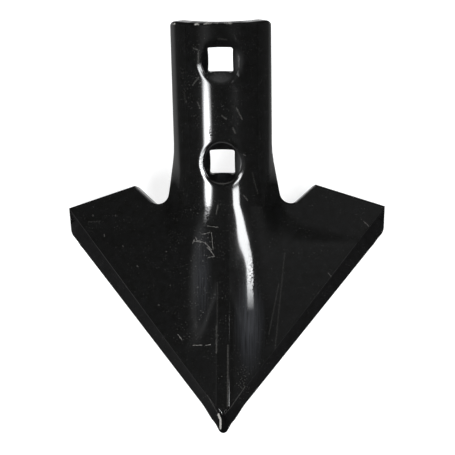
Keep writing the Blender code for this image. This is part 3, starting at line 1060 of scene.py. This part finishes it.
# A painted glint on the rounded point.
POINT_GLINT = [(-2.4, 7.9, -1.5, 5.5), (-1.5, 5.5, -1.7, 2.5)]
MARK_AND_HIGHLIGHT_STROKES = [(CROSSED_SCRATCHES, 0.20, 0.55), (FOOT_SCRATCHES, 0.24, 0.60), (STEM_SCUFFS_AND_RIM_GLINTS, 0.48, 0.15),
         (CROWN_EDGE_HIGHLIGHTS, 0.55, 0.12), (FAINT_RUNS, 0.50, 0.045), (WING_SPECKS, 0.40, 0.18),
         (END_CHIPS, 0.52, 1.2), (POINT_RIDGE_HIGHLIGHTS, 0.30, 0.16), (POINT_GLINT, 0.75, 3.0)]
print("strokes", sum(len(lines) for lines, width, strength in MARK_AND_HIGHLIGHT_STROKES))

# %% A node group that draws one stroke
def stroke_group():
    """Make the group that draws one stroke: a soft line from a start along a run on the die."""
    group = bpy.data.node_groups.new("stroke_in_the_paint", "ShaderNodeTree")
    for name, kind in (("Place", "Vector"), ("Start", "Vector"), ("Run", "Vector"), ("Width", "Float")):
        group.interface.new_socket(name, in_out="INPUT", socket_type="NodeSocket" + kind)
    group.interface.new_socket("Height", in_out="OUTPUT", socket_type="NodeSocketFloat")
    entry = group.nodes.new("NodeGroupInput")
    run = entry.outputs["Run"]
    from_start = vector_node(group, "SUBTRACT", entry.outputs["Place"], entry.outputs["Start"])
    along = vector_value(group, "DOT_PRODUCT", from_start, run)
    squared = vector_value(group, "DOT_PRODUCT", run, run)
    part = math_node(group, "DIVIDE", along, squared, clamp=True)
    nearest = vector_node(group, "SCALE", run, None, None, part)
    away = vector_value(group, "DISTANCE", from_start, nearest)
    leave = group.nodes.new("NodeGroupOutput")
    group.links.new(ranged(group, away, 0.0, entry.outputs["Width"], 1.0, 0.0), leave.inputs["Height"])
    return group


strokes = stroke_group()
print("nodes in a stroke", len(strokes.nodes))

# %% A stroke for every line, wandering and broken
WANDER_SCALE = 1.1
WANDER = 0.7
BREAK_SCALE = 1.6
BREAK_LEVELS = (0.35, 0.6)
BREAK_STRENGTHS = (0.25, 1.0)

wander = noise(tree, place, WANDER_SCALE, detail=3.0, output="Color")
wander = vector_node(tree, "SUBTRACT", wander, (0.5, 0.5, 0.5))
wander = vector_node(tree, "MULTIPLY", wander, (WANDER, WANDER, 0.0))
wavy_place = vector_node(tree, "ADD", place, wander)
# Marks of use and painted highlights, drawn together.
marks_and_highlights = 0.0
for lines, width, strength in MARK_AND_HIGHLIGHT_STROKES:
    drawn = 0.0
    for x0, y0, x1, y1 in lines:
        stroke = add_node(tree, "ShaderNodeGroup", node_tree=strokes)
        tree.links.new(wavy_place, stroke.inputs["Place"])
        stroke.inputs["Start"].default_value = (x0, y0, 0.0)
        stroke.inputs["Run"].default_value = (x1 - x0, y1 - y0, 0.0)
        stroke.inputs["Width"].default_value = width
        drawn = larger(tree, stroke.outputs["Height"], drawn)
    marks_and_highlights = larger(tree, times(tree, drawn, strength), marks_and_highlights)
broken = ranged(tree, noise(tree, place, BREAK_SCALE, detail=2.0), *BREAK_LEVELS, *BREAK_STRENGTHS)
marks_and_highlights = times(tree, marks_and_highlights, broken, clamp=True)
print("nodes with the marks", len(tree.nodes))

# %% [markdown]
# Nicks, and painted light in the holes.
# Fine nicks are the peaks of a noise. A slower noise gathers them into
# clusters, thickest where the share was rubbed. Where the sunk cones face the
# lamps, a lighter grey is painted into them as painted light, and the lower
# hole's rim gets a thin pale line, a painted highlight on its rounded edge.

# %% Nicks in clusters
NICK_SCALE = 1.3
NICK_ROUGHNESS = 0.65
NICK_LEVELS = (0.595, 0.76)
NICK_STRENGTH = 0.42
CLUSTER_SCALE = 0.16
CLUSTER_LEVELS = (0.44, 0.58)
CLUSTER_STRENGTHS = (0.1, 1.0)
RUBBED = [(-9.0, 70.0, 20.0, 50.0), (8.0, 22.0, 12.0, 18.0), (-8.0, 150.0, 16.0, 26.0)]
SHARE_ELSEWHERE = 0.25

nicks = noise(tree, place, NICK_SCALE, detail=3.0, roughness=NICK_ROUGHNESS)
nicks = ranged(tree, nicks, *NICK_LEVELS, 0.0, NICK_STRENGTH)
clusters = noise(tree, place, CLUSTER_SCALE, detail=2.0)
clusters = ranged(tree, clusters, *CLUSTER_LEVELS, *CLUSTER_STRENGTHS)
rubbed = between(tree, patches(tree, place, RUBBED), SHARE_ELSEWHERE, 1.0)
nicks = times(tree, times(tree, nicks, clusters), rubbed)
marks_and_highlights = larger(tree, marks_and_highlights, nicks)
print("rubbed patches", len(RUBBED))

# %% Painted light in the cones, and a painted highlight on the lower hole's rim
# Painted light: a lighter grey on the cone faces that turn to the lamps, below the upper square and on both
# holes' right sides.
LIT_CONE_GREY = (0.026, 0.026, 0.026, 1.0)
LIT_CONE_PATCHES = [(0.0, 150.5, 10.0, 7.0), (8.5, 159.0, 4.0, 10.0), (8.5, 116.0, 4.0, 10.0)]
LIT_CONE_STRENGTH = 1.6
# A painted highlight: a thin pale line along the bottom of the lower hole's rim.
RIM_MIDDLE = (0.0, 116.5, 0.0)
RIM_RADIUS = 8.9
RIM_LINE_WIDTH = 0.35
RIM_HIGHLIGHT_STRENGTH = 0.14
RIM_HIGHLIGHT_PATCH = (RIM_MIDDLE[0], RIM_MIDDLE[1] - RIM_RADIUS, 8.0, 3.5)

for spot in LIT_CONE_PATCHES:
    lit_cone = times(tree, patch(tree, place, *spot), worked["sunk"])
    surface = mixed_color(tree, times(tree, lit_cone, LIT_CONE_STRENGTH, clamp=True), surface, LIT_CONE_GREY)
from_middle = vector_value(tree, "DISTANCE", place, RIM_MIDDLE)
off_rim = math_node(tree, "ABSOLUTE", math_node(tree, "SUBTRACT", from_middle, RIM_RADIUS))
rim_highlight = ranged(tree, off_rim, 0.0, RIM_LINE_WIDTH, 1.0, 0.0)
rim_highlight = times(tree, rim_highlight, patch(tree, place, *RIM_HIGHLIGHT_PATCH))
marks_and_highlights = larger(tree, marks_and_highlights, times(tree, rim_highlight, RIM_HIGHLIGHT_STRENGTH))
print("matt patches", len(LIT_CONE_PATCHES))

# %% Bare metal in the marks, and the painted highlights
# The pale grey of bare metal in the marks, also the colour of the painted highlights and glints.
BARE_METAL_AND_HIGHLIGHT = (0.33, 0.32, 0.30, 1.0)
SHINE_IN_MARKS = 0.2

tree.links.new(mixed_color(tree, marks_and_highlights, surface, BARE_METAL_AND_HIGHLIGHT), paint_shader.inputs["Base Color"])
shine = times(tree, shine, between(tree, marks_and_highlights, 1.0, SHINE_IN_MARKS))
tree.links.new(shine, paint_shader.inputs["Coat Weight"])
print("nodes in all", len(tree.nodes))

# %% [markdown]
# The camera.
# The photograph looks down at the share, almost square to its stem, from
# about a metre away with a long lens. Its place was found by matching the
# outline and the two holes, and is kept in the share's own frame, so that it
# follows the share if that is laid down differently.

# %% Place the camera
PHOTO_TURN = -0.05406
PHOTO_ROLL = 0.00584
PHOTO_SHIFT = (-0.002110, -0.08867, 0.0)
PHOTO_DISTANCE = 0.9504
LENS = 174.45
SENSOR_WIDTH = 36.0
share_to_photo = Matrix.Translation(PHOTO_SHIFT)
share_to_photo = share_to_photo @ Matrix.Rotation(PHOTO_ROLL, 4, "Z") @ Matrix.Rotation(PHOTO_TURN, 4, "Y")
photo_to_world = share_to_world @ share_to_photo.inverted()
camera_data = bpy.data.cameras.new("photo_camera")
camera_data.lens = LENS
camera_data.sensor_width = SENSOR_WIDTH
camera = in_scene("photo_camera", camera_data)
camera.matrix_world = photo_to_world @ Matrix.Translation((0.0, 0.0, PHOTO_DISTANCE))
bpy.context.scene.camera = camera
print("camera at", tuple(round(v, 3) for v in camera.matrix_world.translation))

# %% [markdown]
# The studio.
# Two long softboxes, one on each side of the camera, draw the two bright
# streaks down the stem. The left one is brightest in its middle, so its
# streak is soft at the edges. Two faint fills lift the wings off pure black,
# and one above the picture lights the stem's end face.

# %% Softboxes, placed by the direction they are seen in from the share
STREAK_RADIANCE = 25.0
LEFT_RADIANCE = 56.0
COOL_WHITE = (0.97, 0.985, 1.0)
SOFTBOX_DISTANCE = 1.2


def fade_to_edges(lamp):
    """Let a softbox shine most in its middle, as one with a single bulb does."""
    lamp.use_nodes = True
    tree = lamp.node_tree
    across = add_node(tree, "ShaderNodeNewGeometry").outputs["Parametric"]
    tree.links.new(patch(tree, across, 0.5, 0.5, 0.5, 0.5), tree.nodes["Emission"].inputs["Strength"])


def softbox(name, azimuth, elevation, width, height, radiance, tilt=0.0, faded=False):
    """Hang a softbox in a direction from the share, in degrees to the right and up the picture."""
    a = math.radians(azimuth)
    e = math.radians(elevation)
    direction = Vector((math.sin(a) * math.cos(e), math.sin(e), math.cos(a) * math.cos(e)))
    lamp = bpy.data.lights.new(name, "AREA")
    lamp.shape = "RECTANGLE"
    lamp.size = width
    lamp.size_y = height
    lamp.energy = radiance * math.pi * width * height
    lamp.color = COOL_WHITE
    if faded:
        fade_to_edges(lamp)
    box = in_scene(name, lamp)
    right = Vector((0.0, 1.0, 0.0)).cross(direction).normalized()
    facing = Matrix((right, direction.cross(right), direction)).transposed().to_4x4()
    turn = Matrix.Rotation(math.radians(tilt), 4, "Z")
    box.matrix_world = photo_to_world @ Matrix.Translation(direction * SOFTBOX_DISTANCE) @ facing @ turn
    print(name, "at", tuple(round(v, 2) for v in box.matrix_world.translation))


softbox("left_softbox", -32.5, -18, width=0.37, height=0.84, radiance=LEFT_RADIANCE, faded=True)
softbox("right_softbox", 18.6, -3, width=0.225, height=0.62, radiance=STREAK_RADIANCE, tilt=-5)
softbox("left_fill", -37, 7, width=0.55, height=0.50, radiance=0.38, faded=True)
softbox("right_fill", 50, 14, width=1.0, height=0.9, radiance=0.19, faded=True)
softbox("back_fill", 0, 62, width=0.70, height=0.30, radiance=4.0)

# %% [markdown]
# The table and the room.
# The share lies on a white table that turns up at its far edge. The camera
# sees it at an even white. In the paint's reflections its white fades away
# from the share, as a lit table's does, and the room above is dim, so that
# black stays black. The table's own grey takes the share's shadow.

# %% The white table
TABLE_RADIUS = 2.4
TABLE_SIDES = 72
SWEEP_RADIUS = 0.9
SWEEP_DEGREES = range(0, 91, 10)

table_mesh = bmesh.new()
rows = []
for degrees in SWEEP_DEGREES:
    rise = math.radians(degrees)
    radius = TABLE_RADIUS + SWEEP_RADIUS * math.sin(rise)
    height = SWEEP_RADIUS * (1 - math.cos(rise))
    turns = [math.tau * i / TABLE_SIDES for i in range(TABLE_SIDES)]
    rows.append([table_mesh.verts.new((radius * math.cos(t), radius * math.sin(t), height)) for t in turns])
table_mesh.faces.new(rows[0])
for lower, upper in zip(rows, rows[1:]):
    for i in range(TABLE_SIDES):
        j = (i + 1) % TABLE_SIDES
        table_mesh.faces.new((lower[i], lower[j], upper[j], upper[i]))
bmesh.ops.recalc_face_normals(table_mesh, faces=table_mesh.faces[:])
table_data = bpy.data.meshes.new("white_table")
table_mesh.to_mesh(table_data)
table_mesh.free()
table = in_scene("white_table", table_data)
print("table radius", TABLE_RADIUS)

# %% The table's white and the dim room
TABLE_GREY = (0.45, 0.45, 0.45, 1.0)
TABLE_GLOW = 0.80
POOL_REACH = 1.1
POOL_STRETCH = (1.0, 1.0, 3.0)
FAR_GLOW = 0.05
DIM_ROOM = (0.04, 0.04, 0.04, 1.0)

white = bpy.data.materials.new("white_table")
white.use_nodes = True
tree = white.node_tree
tree.nodes.clear()
output = tree.nodes.new("ShaderNodeOutputMaterial")
card = add_node(tree, "ShaderNodeBsdfDiffuse", [TABLE_GREY])
path = tree.nodes.new("ShaderNodeLightPath")
mirrored = larger(tree, path.outputs["Is Glossy Ray"], path.outputs["Is Transmission Ray"])
position = add_node(tree, "ShaderNodeNewGeometry").outputs["Position"]
distance = vector_value(tree, "LENGTH", vector_node(tree, "MULTIPLY", position, POOL_STRETCH))
faded = math_node(tree, "EXPONENT", times(tree, distance, -1 / POOL_REACH))
lit = times(tree, mirrored, between(tree, faded, FAR_GLOW, 1.0))
seen = larger(tree, path.outputs["Is Camera Ray"], lit)
glow = add_node(tree, "ShaderNodeEmission", [None, times(tree, seen, TABLE_GLOW)])
both = add_node(tree, "ShaderNodeAddShader", [glow.outputs[0], card.outputs[0]])
tree.links.new(both.outputs[0], output.inputs["Surface"])
table_data.materials.append(white)

world = bpy.data.worlds.new("dim_room")
bpy.context.scene.world = world
world.use_nodes = True
world.node_tree.nodes["Background"].inputs["Color"].default_value = DIM_ROOM
bpy.context.scene.view_settings.view_transform = "Standard"
print("table glow", TABLE_GLOW, "room", DIM_ROOM[0])
